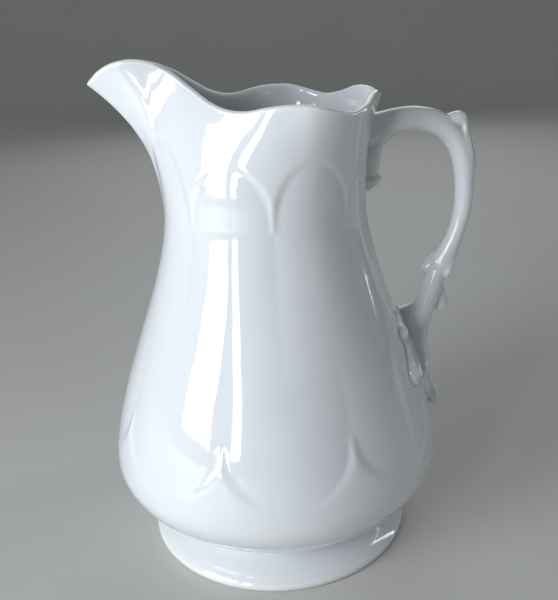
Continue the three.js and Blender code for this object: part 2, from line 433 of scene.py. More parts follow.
def glaze_ripple_group() -> bpy.types.NodeTree:
    """Builds the group for the glaze's unevenness: slow swells with fine ripples on them."""
    usual = {"Swell Scale": 30.0, "Ripple Scale": 190.0, "Ripple Share": 0.2}
    tree, start, end = new_group("glaze_ripple", usual, "Height")
    position = start.outputs["Position"]
    swell = noise(tree, position, start.outputs["Swell Scale"], 1.0)
    ripple = noise(tree, position, start.outputs["Ripple Scale"], 2.0)
    lifted = maths(tree, "MULTIPLY", ripple, start.outputs["Ripple Share"])
    set_inputs(end, Height=maths(tree, "ADD", swell, lifted))
    return tree


def kiln_specks_group() -> bpy.types.NodeTree:
    """Builds the group for kiln specks and pinholes: a few small dots, far apart."""
    usual = {"Scale": 60.0, "Size": 0.04, "Share": 0.3}
    tree, start, end = new_group("kiln_specks", usual, "Mask")
    cells = tree.nodes.new("ShaderNodeTexVoronoi")
    set_inputs(cells, Vector=start.outputs["Position"], Scale=start.outputs["Scale"])
    split = set_inputs(tree.nodes.new("ShaderNodeSeparateColor"), Color=cells.outputs["Color"])
    chosen = maths(tree, "LESS_THAN", split.outputs["Red"], start.outputs["Share"])
    wide = maths(tree, "MULTIPLY", start.outputs["Size"], split.outputs["Green"])
    inside = maths(tree, "DIVIDE", cells.outputs["Distance"], wide)
    fall = mapped(tree, inside, "SMOOTHSTEP", From_Min=0.6, From_Max=1.0, To_Min=1.0, To_Max=0.0)
    set_inputs(end, Mask=maths(tree, "MULTIPLY", chosen, fall))
    return tree


def placed(
    tree: bpy.types.NodeTree, group: bpy.types.NodeTree, position: bpy.types.NodeSocket
) -> bpy.types.Node:
    """Places a shared group in a material and gives it the position."""
    node = tree.nodes.new("ShaderNodeGroup")
    node.node_tree = group
    return set_inputs(node, Position=position)


@dataclass(frozen=True)
class Glaze:
    """A glossy blue-white glaze over white clay."""

    name: str
    full: tuple[float, float, float] = (0.8, 0.822, 0.848)
    thin: tuple[float, float, float] = (0.86, 0.865, 0.868)
    pooled: tuple[float, float, float] = (0.62, 0.67, 0.72)
    speck: tuple[float, float, float] = (0.16, 0.13, 0.11)
    cloud_scale: float = 16.0
    swell_scale: float = 26.0
    ripple_scale: float = 125.0
    ripple_share: float = 0.34
    swell_height: float = 0.00022
    roughness: float = 0.05
    speck_scale: float = 55.0
    speck_size: float = 0.05
    speck_share: float = 0.32

    def build(self, ripple: bpy.types.NodeTree, specks: bpy.types.NodeTree) -> bpy.types.Material:
        """Makes the material.

        Args:
            ripple: the shared group for the glaze's unevenness.
            specks: the shared group for kiln specks.

        Returns:
            The finished material.
        """
        material, tree, shader, position = new_material(self.name)
        set_inputs(shader, IOR=1.52, Coat_Weight=0.5, Coat_Roughness=0.02, Coat_IOR=1.5)
        pooling = tree.nodes.new("ShaderNodeAttribute")
        pooling.attribute_name = POOLING

        cloud = noise(tree, position, self.cloud_scale, 3.0)
        drift = maths(tree, "MULTIPLY", maths(tree, "SUBTRACT", cloud, 0.5), 0.5)
        depth = maths(tree, "ADD", pooling.outputs["Fac"], drift)
        to_pooled = mapped(tree, depth, From_Min=0.52, From_Max=1.0)
        to_thin = mapped(tree, depth, From_Min=0.45, From_Max=0.0)

        dots = placed(tree, specks, position)
        set_inputs(dots, Scale=self.speck_scale, Size=self.speck_size, Share=self.speck_share)
        dot = dots.outputs["Mask"]
        colour = mixed(tree, to_pooled, self.full, self.pooled)
        colour = mixed(tree, to_thin, colour, self.thin)
        colour = mixed(tree, dot, colour, self.speck)

        uneven = placed(tree, ripple, position)
        set_inputs(uneven, Swell_Scale=self.swell_scale, Ripple_Scale=self.ripple_scale)
        set_inputs(uneven, Ripple_Share=self.ripple_share)
        height = maths(tree, "SUBTRACT", uneven.outputs["Height"], maths(tree, "MULTIPLY", dot, 0.4))
        rough = maths(tree, "MULTIPLY_ADD", cloud, 0.05, self.roughness)
        set_inputs(
            shader,
            Base_Color=colour,
            Roughness=maths(tree, "MULTIPLY_ADD", dot, 0.3, rough),
            Normal=bumped(tree, height, self.swell_height),
        )
        return material


@dataclass(frozen=True)
class BareClay:
    """Unglazed fired clay, a little stained from standing on tables."""

    name: str
    clean: tuple[float, float, float] = (0.7, 0.66, 0.59)
    stained: tuple[float, float, float] = (0.42, 0.35, 0.27)
    stain_scale: float = 45.0
    grain_scale: float = 1400.0
    grain_height: float = 0.00008

    def build(self, specks: bpy.types.NodeTree) -> bpy.types.Material:
        """Makes the material.

        Args:
            specks: the shared group for kiln specks, here as grit.

        Returns:
            The finished material.
        """
        material, tree, shader, position = new_material(self.name)
        patches = mapped(tree, noise(tree, position, self.stain_scale, 4.0), From_Min=0.42, From_Max=0.7)
        grit = set_inputs(placed(tree, specks, position), Scale=400.0, Size=0.3, Share=0.3)
        grain = noise(tree, position, self.grain_scale, 4.0)
        colour = mixed(tree, patches, self.clean, self.stained)
        set_inputs(
            shader,
            Base_Color=mixed(tree, grit.outputs["Mask"], colour, self.stained),
            Roughness=maths(tree, "MULTIPLY_ADD", grain, 0.2, 0.7),
            Normal=bumped(tree, grain, self.grain_height),
        )
        return material


# ---------- The jug's form ----------

# The rim's stations on one side, from the spout's tip to the handle: share of the spout's reach
# (forward, below 0) or of the mouth's radius (back), share of the radius across, and height
RIM_STATIONS = (
    (-1, 0, 13), (-0.979, 0.06, 14), (-0.926, 0.13, 18), (-0.842, 0.19, 21.8),
    (-0.737, 0.222, 23.2), (-0.632, 0.24, 22), (-0.526, 0.29, 17.4), (-0.421, 0.425, 10),
    (-0.316, 0.613, 2.7), (-0.221, 0.742, -0.9), (-0.126, 0.839, -1.6), (0, 0.935, 0.5),
    (0.194, 0.99, 1.5), (0.387, 1.01, 0.7), (0.58, 0.94, -2.3), (0.74, 0.81, -4.7),
    (0.89, 0.64, -2.5), (1, 0.4, 1.5), (1.07, 0.19, 2), (1.12, 0, -0.3),
)


@dataclass
class JugForm:
    """The jug's outer surface, from the waist on the foot to the rim, with its arched panels."""

    axis: Vector
    waist_radius: float = 62.0
    waist_height: float = 15.0
    belly_radius: float = 103.4
    belly_height: float = 59.0
    neck_radius: float = 60.3
    neck_height: float = 218.0
    mouth_height: float = 277.0
    mouth_radius: float = 62.0
    spout_reach: float = 95.0
    flare_power: float = 2.4
    spout_root: float = math.radians(110.0)
    spout_narrowing: float = 0.35
    spout_lean: float = 1.0
    lip_round: float = 1.8
    wall: float = 5.5
    lip_wall: float = 4.2
    tip_thinning: float = 1.5
    panels: int = 8
    foot_arch: tuple[float, float] = (104.0, 70.0)
    neck_arch: tuple[float, float] = (213.0, 250.0)
    panel_depth: float = 1.3
    middle_share: float = 0.24
    step_width: float = 5.5
    mid_body: tuple[float, float] = (100.0, 190.0)

    def __post_init__(self) -> None:
        """Works out the body's line and the rim's, which every surface point is read from."""
        rise = self.belly_height - self.waist_height
        swell = self.belly_radius - self.waist_radius
        shoulder = (self.neck_height - self.belly_height) / 4
        belly = (self.belly_radius, self.belly_height)
        below = bezier(
            200,
            (self.waist_radius, self.waist_height),
            (self.waist_radius + 0.59 * swell, self.waist_height + 0.3 * rise),
            (self.belly_radius, self.belly_height - 0.36 * rise),
            belly,
        )
        above = bezier(
            500,
            belly,
            (self.belly_radius, self.belly_height + shoulder),
            (self.neck_radius, self.neck_height - shoulder),
            (self.neck_radius, self.neck_height),
        )
        line = np.vstack([below, above[1:]])
        self.body_share = self.shares_along(line)
        self.body_line = line
        self.rim = self.rim_line()
        turned = np.unwrap(np.arctan2(self.rim[:, 1], self.rim[:, 0]))
        self.rim_angle = turned - turned[0] - math.pi
        self.rim_share = self.shares_along(self.rim)

    @staticmethod
    def shares_along(line: np.ndarray) -> np.ndarray:
        """The share of a line's length at each of its points."""
        length = np.concatenate([[0.0], np.linalg.norm(np.diff(line, axis=0), axis=1).cumsum()])
        return length / length[-1]

    def rim_line(self) -> np.ndarray:
        """The outer edge of the rim, from the spout's tip round by the left and back again."""
        side = np.array(
            [
                (
                    along * (self.spout_reach if along < 0 else self.mouth_radius),
                    -across * self.mouth_radius,
                    self.mouth_height + rise - self.lip_round,
                )
                for along, across, rise in RIM_STATIONS
            ]
        )
        other_side = side[1:-1][::-1] * (1, -1, 1)
        line = smooth_line(np.vstack([side, other_side]), closed=True, steps=200)
        on_spout = ramp(-line[:, 0] / self.spout_reach, 0.35, 0.7)
        line[:, 2] -= self.spout_lean * on_spout * np.tanh(line[:, 1] / 6.0)
        return line

    def rim_at(self, angle: np.ndarray) -> tuple[np.ndarray, np.ndarray]:
        """The rim's distance from the axis and its height.

        Args:
            angle: angles round the axis, from -pi to pi.

        Returns:
            The distances and the heights.
        """
        wrapped = (angle + math.pi) % (2 * math.pi) - math.pi
        radius = np.interp(wrapped, self.rim_angle, np.hypot(self.rim[:, 0], self.rim[:, 1]))
        return radius, np.interp(wrapped, self.rim_angle, self.rim[:, 2])

    def spread(self, angle: np.ndarray, share: np.ndarray) -> np.ndarray:
        """The angle at which a row under the rim reads the rim: the spout is broader at its root.

        Args:
            angle: angles round the axis.
            share: the row's share of the way from the neck to the rim.

        Returns:
            The angles to read the rim at.
        """
        wrapped = (angle + math.pi) % (2 * math.pi) - math.pi
        turn = math.pi - np.abs(wrapped)
        narrowed = self.spout_narrowing + (1.0 - self.spout_narrowing) * share
        settled = ramp(turn, 0.0, self.spout_root)
        return np.copysign(math.pi - turn * (narrowed + (1.0 - narrowed) * settled), wrapped)

    def surface(self, angle: np.ndarray, height: np.ndarray) -> np.ndarray:
        """The plain outer surface.

        Args:
            angle: angles round the axis.
            height: from 0 at the waist to 1 at the neck and 2 at the rim.

        Returns:
            The points, their coordinates on the last axis.
        """
        low = np.clip(height, 0.0, 1.0)
        share = np.clip(height - 1.0, 0.0, 1.0)
        radius = np.interp(low, self.body_share, self.body_line[:, 0])
        z = np.interp(low, self.body_share, self.body_line[:, 1])
        flare = self.rim_at(self.spread(angle, share))[0] - self.neck_radius
        radius = radius + flare * share**self.flare_power
        z = z + (self.rim_at(angle)[1] - self.neck_height) * share
        return np.stack([radius * np.cos(angle), radius * np.sin(angle), z], axis=-1)

    def outward(self, angle: np.ndarray, height: np.ndarray) -> np.ndarray:
        """The surface's normal, which turns level towards the rim."""
        low, high = np.clip(height - 0.01, 0.0, 2.0), np.clip(height + 0.01, 0.0, 2.0)
        round_it = self.surface(angle + 0.006, height) - self.surface(angle - 0.006, height)
        up = self.surface(angle, high) - self.surface(angle, low)
        normal = np.cross(round_it, up)
        normal[..., 2] *= np.clip(2.0 - height, 0.0, 1.0)
        return normal / np.linalg.norm(normal, axis=-1, keepdims=True)

    def level(self, height: np.ndarray) -> np.ndarray:
        """The height in millimetres that the panels are laid out by, as if the rim were level."""
        low = np.interp(np.clip(height, 0.0, 1.0), self.body_share, self.body_line[:, 1])
        return low + np.clip(height - 1.0, 0.0, 1.0) * (self.mouth_height - self.neck_height)

    def relief(self, angle: np.ndarray, height: np.ndarray) -> np.ndarray:
        """How far the panels sink the surface: each has a round foot and a round arched head.

        Args:
            angle: angles round the axis.
            height: heights, as the surface's.

        Returns:
            The depth, in millimetres, at each point.
        """
        z = self.level(height)
        turn = 2 * math.pi / self.panels
        radius = np.hypot(*np.moveaxis(self.surface(angle, np.minimum(height, 1.0)), -1, 0)[:2])
        half = radius * turn / 2
        depth = np.zeros_like(z)
        for (cusp, tip), shift in ((self.foot_arch, 0.0), (self.neck_arch, 0.5)):
            across = (((angle / turn + shift + 0.5) % 1.0) - 0.5) * 2
            up = (z - cusp) / (tip - cusp)
            rise = np.maximum(up, 0.0)
            round_out = np.sqrt(across**2 + rise**2) + 1e-6
            steepness = np.hypot(across / half, rise / abs(tip - cusp)) / round_out
            inset = (1.0 - round_out) / np.maximum(steepness, 1e-6)
            inset = np.where(up > 0, inset, half * (1 - np.abs(across)) + self.step_width)
            step = ramp(inset, -0.5 * self.step_width, 0.5 * self.step_width)
            near, far = self.mid_body if tip < cusp else self.mid_body[::-1]
            heading = np.sign(far - near)
            fade = 1.0 - ramp(z * heading, near * heading, far * heading)
            by_side = self.middle_share + (1.0 - self.middle_share) * np.abs(across) ** 1.5
            depth += self.panel_depth * step * fade * by_side
        return depth

    def uneven(self, points: np.ndarray) -> np.ndarray:
        """The slight unevenness of a hand-pressed wall, in millimetres, at each point."""
        x, y, z = np.moveaxis(points, -1, 0)
        slow = np.sin(x / 17 + 0.6) * np.sin(z / 23 + 1.1) + np.sin(y / 19 + 2.0) * np.sin(z / 31 + 0.3)
        quick = np.sin(x / 9 + z / 14) * np.sin(y / 11 - z / 12 + 0.8)
        return 0.12 * slow + 0.05 * quick

    def wall_point(
        self, angle: np.ndarray, height: np.ndarray, lift: np.ndarray | float, relieved: bool = True
    ) -> np.ndarray:
        """A point off the surface along its normal.

        Args:
            angle: angles round the axis.
            height: heights, as the surface's.
            lift: millimetres out of the surface, or below 0 into the wall.
            relieved: whether the panels sink the surface.

        Returns:
            The points.
        """
        points = self.surface(angle, height)
        out = np.broadcast_to(lift, angle.shape).astype(float)
        if relieved:
            out = out + self.uneven(points) * ramp(2.0 - height, 0.0, 0.25) - self.relief(angle, height)
        return points + self.outward(angle, height) * out[..., None]

    def thickness(self, angle: np.ndarray) -> np.ndarray:
        """The wall's thickness at the rim, which thins towards the spout's tip."""
        from_tip = self.rim_at(angle)[0] * np.sin(np.minimum(math.pi - np.abs(angle), 1.2))
        return self.lip_wall - self.tip_thinning * np.exp(-((from_tip / 9.0) ** 2))

    def reach(self, z: float) -> float:
        """How far the plain wall stands from the axis on the handle's side at a height in millimetres."""
        return float(self.surface(np.zeros(1), self.height_of(np.zeros(1), np.array([z])))[0, 0])

    def height_of(self, angle: np.ndarray, z: np.ndarray) -> np.ndarray:
        """The surface's own height, from 0 to 2, at a height in millimetres."""
        low = np.interp(z, self.body_line[:, 1], self.body_share)
        share = (z - self.neck_height) / (self.rim_at(angle)[1] - self.neck_height)
        return low + np.clip(share, 0.0, 1.0)

    def on_wall(self, y: np.ndarray, z: np.ndarray, lift: np.ndarray | float) -> np.ndarray:
        """A point on the handle's side of the wall, by its distance across and its height.

        Args:
            y: millimetres across from the handle's plane.
            z: millimetres above the table.
            lift: millimetres out of the surface.

        Returns:
            The points.
        """
        flat = np.zeros_like(y)
        radius = self.surface(flat, self.height_of(flat, z))[..., 0]
        angle = np.arcsin(np.clip(y / radius, -0.9, 0.9))
        return self.wall_point(angle, self.height_of(angle, z), lift)


# ---------- The pieces ----------


@dataclass
class Piece:
    """What every piece of the jug shares: its form, its name and how it joins the frame."""

    form: JugForm
    name: str
    slot: Slot
    stands_for: tuple[str, ...]

    def finish(
        self, bm: bmesh.types.BMesh, materials: list[bpy.types.Material], reach: int, gain: float
    ) -> bpy.types.Object:
        """Turns a bmesh in millimetres into the finished piece in the frame.

        Args:
            bm: the mesh, about the jug's axis. It is freed.
            materials: the piece's materials, by their index on the faces.
            reach: how far pooled glaze spreads, in rounds of averaging.
            gain: how strongly hollows and edges count for the glaze.

        Returns:
            The piece's object, at the origin, riding on the body.
        """
        scale = Matrix.Scale(MM, 4)
        bmesh.ops.transform(bm, matrix=Matrix.Translation(self.form.axis) @ scale, verts=bm.verts[:])
        for face in bm.faces:
            face.smooth = True
        mesh = bpy.data.meshes.new(self.name)
        bm.to_mesh(mesh)
        bm.free()
        for material in materials:
            mesh.materials.append(material)
        settle_glaze(mesh, reach, gain)
        piece = bpy.data.objects.new(self.name, mesh)
        bpy.context.scene.collection.objects.link(piece)
        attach(piece, BODY)
        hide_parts(*self.stands_for)
        low, high = (Vector(f(v.co[i] for v in mesh.vertices) for i in range(3)) for f in (min, max))
        size = [round(side / MM, 1) for side in high - low]
        log.info("%s: %d faces, %s mm", self.name, len(mesh.polygons), size)
        return piece


@dataclass
class PressedWall(Piece):
    """The wall from the waist to the rim, the spout, and the base that closes it."""

    columns: int = 320
    outer_rows: int = 218
    inner_rows: int = 50
    lip_rows: int = 9
    base_lift: float = 9.0
    floor: float = 15.0
    cove: float = 10.0

    def angles(self, height: float) -> np.ndarray:
        """The columns' angles: evenly round the body, and evenly along the rim's edge at the top."""
        share = np.arange(self.columns) / self.columns
        even = -math.pi + 2 * math.pi * share
        along_rim = np.interp(share, self.form.rim_share, self.form.rim_angle)
        blend = float(ramp(np.array(height), 0.8, 1.9))
        return even + (along_rim - even) * blend

    def level_row(self, radius: float, z: float) -> np.ndarray:
        """A round row at one height."""
        angle = self.angles(0.0)
        return np.stack([radius * np.cos(angle), radius * np.sin(angle), np.full_like(angle, z)], axis=-1)

    def wall_row(self, height: float, lift: float, relieved: bool) -> np.ndarray:
        """A row on the wall at one height, on or in from its outer surface."""
        angle = self.angles(height)
        at_lip = self.form.thickness(angle) / self.form.wall - 1.0
        depth = lift * (1.0 + at_lip * float(ramp(np.array(height), 0.9, 1.85)))
        return self.form.wall_point(angle, np.full_like(angle, height), depth, relieved)

    def lip(self) -> list[np.ndarray]:
        """The rows over the rounded lip."""
        outer = self.wall_row(2.0, 0.0, False)
        inner = self.wall_row(2.0, -self.form.wall, False)
        middle, half = (outer + inner) / 2, (outer - inner) / 2
        turns = np.linspace(0.0, math.pi, self.lip_rows + 2)[1:-1]
        up = np.array([0.0, 0.0, self.form.lip_round])
        return [middle + half * math.cos(turn) + up * math.sin(turn) for turn in turns]

    def rows(self) -> np.ndarray:
        """Every row, from under the base, up the outside, over the lip and down to the floor."""
        form = self.form
        seat = form.waist_radius - form.wall
        edge = ((seat - 1, self.base_lift), (seat, self.base_lift + 1), (seat, form.waist_height - 1.5))
        under = [self.level_row(seat * share, self.base_lift) for share in (0.0, 1 / 3, 2 / 3)]
        under += [self.level_row(radius, z) for radius, z in edge]
        heights = np.linspace(0.0, 2.0, self.outer_rows)
        outside = [self.wall_row(h, 0.0, True) for h in heights]
        inside = []
        for height in np.linspace(2.0, 0.0, self.inner_rows):
            row = self.wall_row(height, -form.wall, False)
            if row[:, 2].min() > self.floor + self.cove:
                inside.append(row)
        last = inside[-1]
        corner = float(np.hypot(last[0, 0], last[0, 1]))
        drop = float(last[0, 2]) - self.floor
        turns = np.linspace(0.0, math.pi / 2, 9)[1:]
        run = 2.2 * drop
        coved = [
            self.level_row(corner - run * (1 - math.cos(t)), self.floor + drop * (1 - math.sin(t)))
            for t in turns
        ]
        flat = [self.level_row((corner - run) * share, self.floor) for share in (0.6, 0.3, 0.0)]
        return np.array([*under, *outside, *self.lip(), *inside, *coved, *flat])

    def build(self, glaze: bpy.types.Material) -> bpy.types.Object:
        """Makes the wall."""
        return self.finish(formed_ring(self.rows()), [glaze], reach=2, gain=0.004)


@dataclass
class FootRing(Piece):
    """The spreading foot, with a soft hollow where the belly rises and a bare tread."""

    radius: float = 83.6
    edge_height: float = 4.0
    tread: float = 11.0
    base_lift: float = 9.0
    columns: int = 256

    def outline(self) -> tuple[np.ndarray, np.ndarray]:
        """The section, and which of its points lie on the bare tread."""
        form = self.form
        edge, low, base = self.radius, self.edge_height, self.base_lift
        waist, top, seat = form.waist_radius, form.waist_height, form.waist_radius - form.wall
        inner, inward, rise = edge - self.tread, edge - waist, top - low
        foot = (inner, 0.0)
        belly = form.surface(np.zeros(1), np.array([0.035]))[0]
        inside = bezier(16, (seat - 5.0, base + 0.4), (seat + 3.0, base - 0.6), (inner - 4.0, 4.0), foot)
        bare = bezier(8, foot, (inner + 1.0, 0.12), (edge - 4.2, 0.12), (edge - 3.2, 0.0))[1:-1]
        toe = bezier(12, (edge - 3.2, 0.0), (edge - 1.0, 0.0), (edge, 1.0), (edge, low))[:-1]
        sweep = bezier(
            26,
            (edge, low),
            (edge - 0.12 * inward, low + 0.45 * rise),
            (edge - 0.55 * inward, low + 0.72 * rise),
            (waist + 2.0, top - 0.6),
        )
        hollow = bezier(
            10,
            (waist + 2.0, top - 0.6),
            (waist - 0.2, top - 0.1),
            (waist + 0.6, top + 0.7),
            (belly[0] - 0.1, belly[2] + 0.02),
        )[1:]
        buried = [(waist - 4.0, top + 0.6), (seat - 3.0, base + 3.0)]
        points = np.vstack([inside, bare, toe, sweep, hollow, buried, inside[:1]])
        is_bare = np.zeros(len(points), bool)
        is_bare[len(inside) - 1 : len(inside) + len(bare)] = True
        return points, is_bare

    def build(self, glaze: bpy.types.Material, clay: bpy.types.Material) -> bpy.types.Object:
        """Makes the foot."""
        outline, is_bare = self.outline()
        angle = -math.pi + 2 * math.pi * np.arange(self.columns) / self.columns
        wander = 0.12 * np.sin(3 * angle + 0.4) + 0.07 * np.sin(7 * angle + 1.3)
        lift = ramp(outline[:, 1], 1.0, 5.0)
        radius = outline[:, :1] + wander * lift[:, None] * (outline[:, :1] > self.form.waist_radius + 2)
        z = np.broadcast_to(outline[:, 1:], radius.shape)
        bm = formed_ring(np.stack([radius * np.cos(angle), radius * np.sin(angle), z], axis=-1))
        bare_radii = outline[is_bare, 0]
        for face in bm.faces:
            middle = face.calc_center_median()
            spread = math.hypot(middle.x, middle.y)
            if middle.z < 0.4 and bare_radii.min() < spread < bare_radii.max():
                face.material_index = 1
        return self.finish(bm, [glaze, clay], reach=2, gain=0.004)


# The branch's middle line: share of the reach out from the wall, share of the way up, half depth
BRANCH_STATIONS = (
    (-0.06, 0.965, 12), (0.08, 0.975, 9.4), (0.24, 0.995, 7.4), (0.4, 1, 7), (0.57, 0.99, 7),
    (0.74, 0.965, 7), (0.88, 0.922, 7), (0.975, 0.86, 6.8), (1.01, 0.785, 6), (0.975, 0.68, 5.4),
    (0.81, 0.575, 5.2), (0.575, 0.48, 6.1), (0.405, 0.39, 6.7), (0.2, 0.29, 6.7),
    (0.1, 0.21, 6.2), (0.04, 0.1, 5.6), (0.03, 0.02, 5),
)


@dataclass
class BranchHandle(Piece):
    """The handle: a bent branch with leaves at its ends, a knot, a cut twig and a bud."""

    reach: float = 60.0
    top: float = 260.5
    foot: float = 82.0
    widening: float = 1.12
    steps: int = 24
    voxel: float = 0.7
    softening: int = 8
    anchor: float = 3.0

    def at(self, reach: float, height: float) -> tuple[float, float]:
        """A place in the handle's plane, by shares of its reach and of its height."""
        z = self.foot + (self.top - self.foot) * height
        return self.form.reach(z) + self.reach * reach, z

    def lay(self, bm: bmesh.types.BMesh, stations: list[tuple], cup: float = 0.0) -> None:
        """Lays a rod along a line in the handle's plane.

        Args:
            bm: the mesh to add to.
            stations: x, z, half depth, half width and, off the plane, shift across, along the line.
            cup: how strongly its sides bend towards the inside of the line's bend.
        """
        line = smooth_line(np.array([(*row, 0.0)[:5] for row in stations], float), False, self.steps)

        def place(share: np.ndarray, turn: np.ndarray) -> np.ndarray:
            """Places the rod's rings square to its line."""
            here = read_line(line, share)
            run = heading(line, share)
            across = here[:, 3] * np.sin(turn)
            out = here[:, 2] * np.cos(turn) - cup * across**2
            x = here[:, 0] + run[:, 1] * out
            z = here[:, 1] - run[:, 0] * out
            return np.stack([x, here[:, 4] + across, z], axis=-1)

        add_rod(bm, place, steps=6 * len(stations))

    def lay_leaf(self, bm: bmesh.types.BMesh, stations: list[tuple], rounding: float = 0.7) -> None:
        """Lays a leaf on the wall under the handle.

        Args:
            bm: the mesh to add to.
            stations: height above the table, half width and the rib's height, along the leaf.
            rounding: how round its sides are, from 0 for upright ones.
        """
        line = smooth_line(np.array(stations, float), False, self.steps)

        def place(share: np.ndarray, turn: np.ndarray) -> np.ndarray:
            """Places the leaf's face above the wall and its back inside it."""
            z, half, rib = read_line(line, share).T
            across, edge = np.cos(turn), np.abs(np.sin(turn))
            face = rib * (0.85 + 0.15 * np.exp(-((across / 0.2) ** 2))) * edge**rounding
            lift = np.where(np.sin(turn) > 0, face, -self.anchor * edge)
            return self.form.on_wall(half * across, z, lift)

        add_rod(bm, place, sides=56, steps=70)

    def lay_ridge(self, bm: bmesh.types.BMesh, stations: list[tuple]) -> None:
        """Lays a round ridge along a line on the wall.

        Args:
            bm: the mesh to add to.
            stations: distance across, height above the table, half width and height off the wall.
        """
        line = smooth_line(np.array(stations, float), False, self.steps)

        def place(share: np.ndarray, turn: np.ndarray) -> np.ndarray:
            """Places the ridge's rings square to its line."""
            y, z, half, rise = read_line(line, share).T
            run = heading(line, share)
            side = half * np.cos(turn)
            lift = np.where(np.sin(turn) > 0, rise, self.anchor) * np.sin(turn)
            return self.form.on_wall(y + run[:, 1] * side, z - run[:, 0] * side, lift)

        add_rod(bm, place, steps=10 * len(stations))

    def branch(self, bm: bmesh.types.BMesh) -> None:
        """The branch itself, from the root under the rim to the foot on the belly."""
        stations = [
            (*self.at(reach, height), depth, depth * self.widening)
            for reach, height, depth in BRANCH_STATIONS
        ]
        self.lay(bm, stations)

    def thumb_leaf(self, bm: bmesh.types.BMesh) -> None:
        """The leaf that wraps the bend's outer side and stands up as a thumb rest."""
        blade = [
            (125.2, 208.0, 0.5, 0.6), (125.9, 218.0, 1.0, 3.0), (126.0, 228.0, 1.3, 5.4),
            (125.2, 237.0, 1.5, 7.0), (122.8, 245.0, 1.6, 7.4), (120.7, 252.0, 1.7, 6.8),
            (119.5, 258.5, 1.6, 5.4), (119.0, 262.6, 0.8, 2.2),
        ]
        self.lay(bm, blade, cup=0.05)
        rest = [
            (105.5, 256.0, 1.6, 4.0), (109.5, 258.4, 3.2, 5.4), (113.5, 258.8, 4.4, 6.0),
            (117.2, 258.6, 4.6, 5.8), (119.4, 258.6, 3.0, 4.6),
        ]
        self.lay(bm, rest)

    def upper_leaf(self, bm: bmesh.types.BMesh) -> None:
        """The leaf that runs down from under the root, with a lobed edge and a pointed tip."""
        stations = [
            (255.0, 8.0, 15.0), (250.0, 9.6, 11.6), (244.5, 10.6, 9.2), (239.0, 10.6, 8.4),
            (233.5, 9.8, 8.4), (229.8, 9.0, 8.2), (227.0, 9.8, 10.4), (224.0, 8.2, 9.6),
            (221.0, 4.8, 6.6), (218.2, 0.6, 0.8),
        ]
        self.lay_leaf(bm, stations)

    def knot(self, bm: bmesh.types.BMesh) -> None:
        """The stub of a cut shoot on the inner side, and the sheath that ends in a collar there."""
        stub = [
            (116.5, 187.0, 3.4, 4.2), (111.8, 179.0, 4.8, 5.4), (107.2, 173.8, 5.4, 5.8),
            (102.6, 170.6, 5.2, 5.6), (99.2, 168.8, 4.6, 5.0), (96.8, 167.8, 3.4, 3.8),
            (95.6, 167.4, 1.6, 1.8),
        ]
        self.lay(bm, stub)
        sheath = [
            (119.4, 197.0, 4.2, 4.8), (116.2, 187.5, 5.2, 6.0), (112.6, 179.4, 6.2, 6.9),
            (109.6, 173.6, 6.9, 7.5), (107.8, 170.2, 6.9, 7.5), (107.0, 168.8, 5.6, 6.2),
        ]
        self.lay(bm, sheath)
        bract = [
            (115.0, 177.5, 1.6, 1.8, -3.4), (113.0, 172.0, 2.5, 2.5, -4.8),
            (111.0, 166.6, 2.5, 2.4, -5.6), (109.8, 163.0, 1.2, 1.2, -5.8),
        ]
        self.lay(bm, bract)

    def twig(self, bm: bmesh.types.BMesh) -> None:
        """The twig on the outer side, set a little to the right, with a flat cut end."""
        stations = [
            (105.2, 161.0, 2.6, 3.4, 2.0), (108.0, 152.8, 3.8, 4.0, 2.4),
            (109.4, 146.0, 4.7, 4.8, 2.8), (110.0, 140.6, 5.2, 5.2, 3.0),
            (110.1, 139.7, 4.8, 4.8, 3.0),
        ]
        self.lay(bm, stations)

    def fork(self, bm: bmesh.types.BMesh) -> None:
        """The clay that fills the fork between the branch and the wall, and the stem below it."""
        web = [
            (84.6, 143.4, 5.4, 3.2), (86.2, 139.0, 8.6, 5.4), (88.4, 131.0, 9.4, 8.0),
            (91.2, 121.0, 8.8, 9.4), (94.0, 110.0, 7.4, 8.8), (96.6, 100.0, 5.8, 7.0),
        ]
        self.lay(bm, web)

    def lower_leaf(self, bm: bmesh.types.BMesh) -> None:
        """The leaf that ends the branch on the belly: a blade spread each way, with a thick raised edge."""
        blade = [
            (145.0, 8.0, 0.8), (141.0, 19.0, 2.0), (136.5, 27.5, 2.2), (130.5, 27.0, 1.8),
            (122.0, 34.0, 2.2), (113.0, 38.0, 2.2), (104.0, 30.0, 2.0), (95.0, 18.0, 3.0),
            (86.0, 11.0, 4.0), (78.0, 4.0, 2.0),
        ]
        self.lay_leaf(bm, blade, rounding=0.35)
        edge = [
            (11.0, 143.5, 1.4, 1.2), (20.0, 141.0, 2.0, 2.0), (29.5, 137.0, 3.2, 5.2),
            (29.8, 131.0, 1.9, 1.8), (34.5, 123.0, 2.6, 3.4), (40.0, 114.5, 3.4, 5.4),
            (39.5, 109.5, 2.8, 3.6), (31.0, 105.0, 1.8, 1.8), (20.0, 98.0, 2.2, 2.0),
            (11.0, 88.0, 2.0, 1.8),
        ]
        for side in (-1, 1):
            self.lay_ridge(bm, [(side * y, z, half, rise) for y, z, half, rise in edge])
            rib = [
                (side * 3.0, 128.0, 4.0, 13.0),
                (side * 9.0, 118.0, 3.6, 9.6),
                (side * 13.0, 110.0, 3.2, 7.4),
                (side * 19.0, 104.5, 3.4, 5.8),
                (side * 24.0, 103.0, 2.6, 3.6),
            ]
            self.lay_ridge(bm, rib)

    def bud(self, bm: bmesh.types.BMesh) -> None:
        """The bud at the branch's very end, curling off the belly."""
        stations = [
            (97.4, 104.0, 5.0, 6.4), (99.4, 94.0, 4.4, 5.6), (102.0, 87.0, 4.2, 5.4),
            (104.8, 80.6, 4.8, 5.6), (105.6, 76.6, 4.2, 4.8), (105.0, 73.6, 2.8, 3.2),
            (104.4, 72.4, 1.0, 1.2),
        ]
        self.lay(bm, stations)

